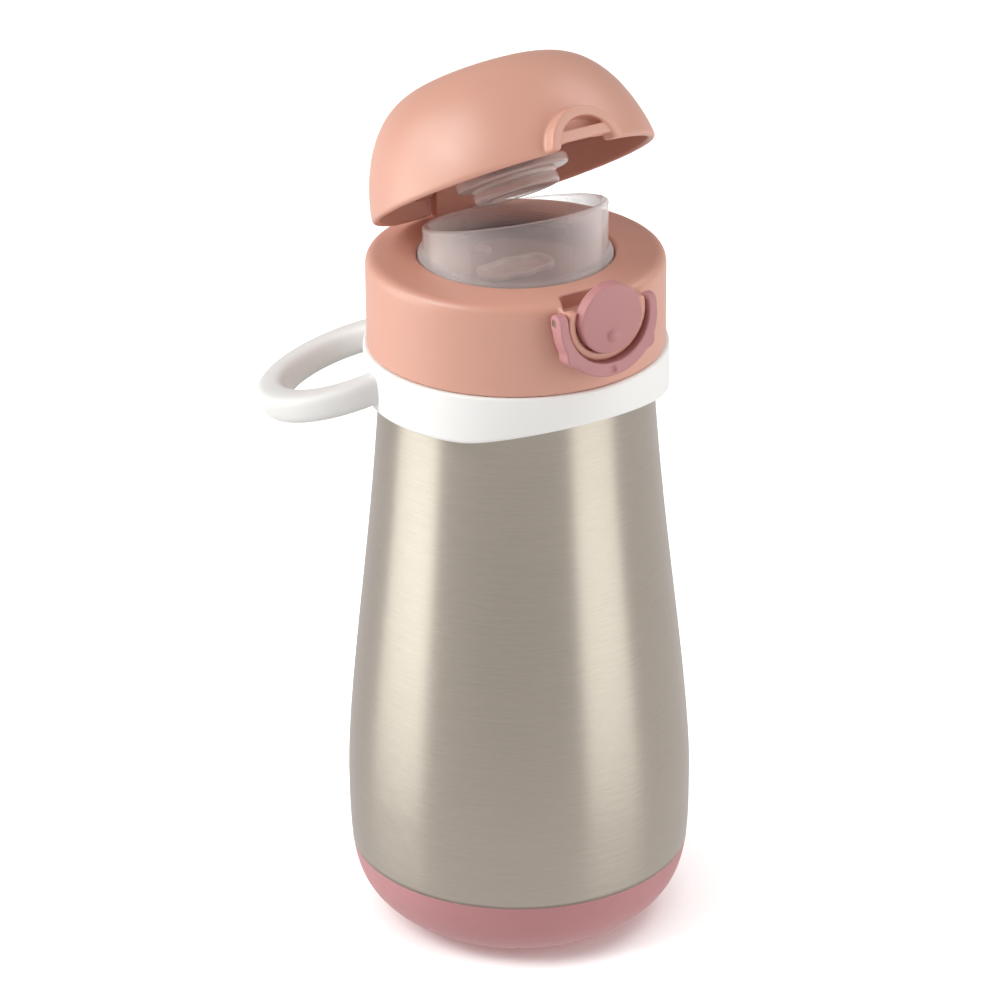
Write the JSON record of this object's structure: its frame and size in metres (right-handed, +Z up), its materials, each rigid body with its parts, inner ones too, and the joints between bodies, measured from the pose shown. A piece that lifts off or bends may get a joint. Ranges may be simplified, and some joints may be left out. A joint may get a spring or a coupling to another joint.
{
  "type": "baby bottle",
  "caption": "Insulated steel toddler bottle with a soft base boot, a carry loop on a neck ring, a slanted soft spout under a hinged domed lid, a push-button catch and a lock bail.",
  "frame": {"origin": "centre of the flat underside", "axes": "+Z up along the bottle's axis; the button and bail face -Y and the lid's hinge is on the +Y side"},
  "size_m": [0.0893, 0.0869, 0.2097],
  "materials": {
    "body_steel": "brushed round the body, satin",
    "inner_steel": "plain satin steel",
    "getter_metal": "pressed metal powder",
    "boot_silicone": "soft matte silicone",
    "band_plastic": "soft matte white",
    "loop_silicone": "soft matte white silicone",
    "seal_silicone": "clear silicone",
    "cap_plastic": "fine satin moulding",
    "lid_plastic": "fine satin moulding",
    "liner_plastic": "plain moulding",
    "spout_silicone": "translucent silicone",
    "valve_silicone": "translucent silicone",
    "pin_steel": "turned steel",
    "holder_plastic": "clear moulding",
    "plug_silicone": "translucent silicone",
    "latch_plastic": "fine satin moulding"
  },
  "bodies": {
    "bottle": {"outer_shell": "body_steel", "inner_vessel": "inner_steel", "vacuum_base_cap": "inner_steel", "vacuum_getter": "getter_metal", "base_boot": "boot_silicone"},
    "carry_ring": {"carry_band": "band_plastic", "carry_loop": "loop_silicone"},
    "seal_ring": {"bottle_seal": "seal_silicone"},
    "cap": {"collar": "cap_plastic", "threaded_liner": "liner_plastic", "spout": "spout_silicone", "flow_valve": "valve_silicone", "vent_valve": "valve_silicone", "hinge_pin": "pin_steel", "latch_pin": "pin_steel", "button_spring": "pin_steel"},
    "lid": {"lid_shell": "lid_plastic", "plug_holder": "holder_plastic", "seal_plug": "plug_silicone"},
    "button": {"latch_button": "latch_plastic"},
    "bail": {"lock_bail": "latch_plastic"}
  },
  "joints": [
    {"name": "carry_ring_turn", "type": "hinge", "parent": "bottle", "child": "carry_ring", "pos_m": [0, 0, 0.136], "axis": [0, 0, 1], "continuous": true},
    {"name": "cap_lift", "type": "slide", "parent": "bottle", "child": "seal_ring", "axis": [0, 0, 1], "range_m": [0, 0.0097]},
    {"name": "cap_turn", "type": "hinge", "parent": "seal_ring", "child": "cap", "pos_m": [0, 0, 0.15], "axis": [0, 0, 1], "range_deg": [0, 576]},
    {"name": "lid_hinge", "type": "hinge", "parent": "cap", "child": "lid", "pos_m": [0, 0.0279, 0.1708], "axis": [-1, 0, 0], "range_deg": [-31.8, 78]},
    {"name": "button_press", "type": "hinge", "parent": "cap", "child": "button", "pos_m": [0, -0.0342, 0.16], "axis": [1, 0, 0], "range_deg": [0, 7], "stiffness_Nm_per_rad": 0.05, "springref_deg": -5.73, "deforming": ["button_spring"]},
    {"name": "bail_swing", "type": "hinge", "parent": "cap", "child": "bail", "pos_m": [0, -0.0342, 0.16], "axis": [-1, 0, 0], "range_deg": [0, 153]}
  ],
  "couplings": [
    {"joint": "cap_lift", "follows": "cap_turn", "m_per_rad": 0.00095493}
  ]
}
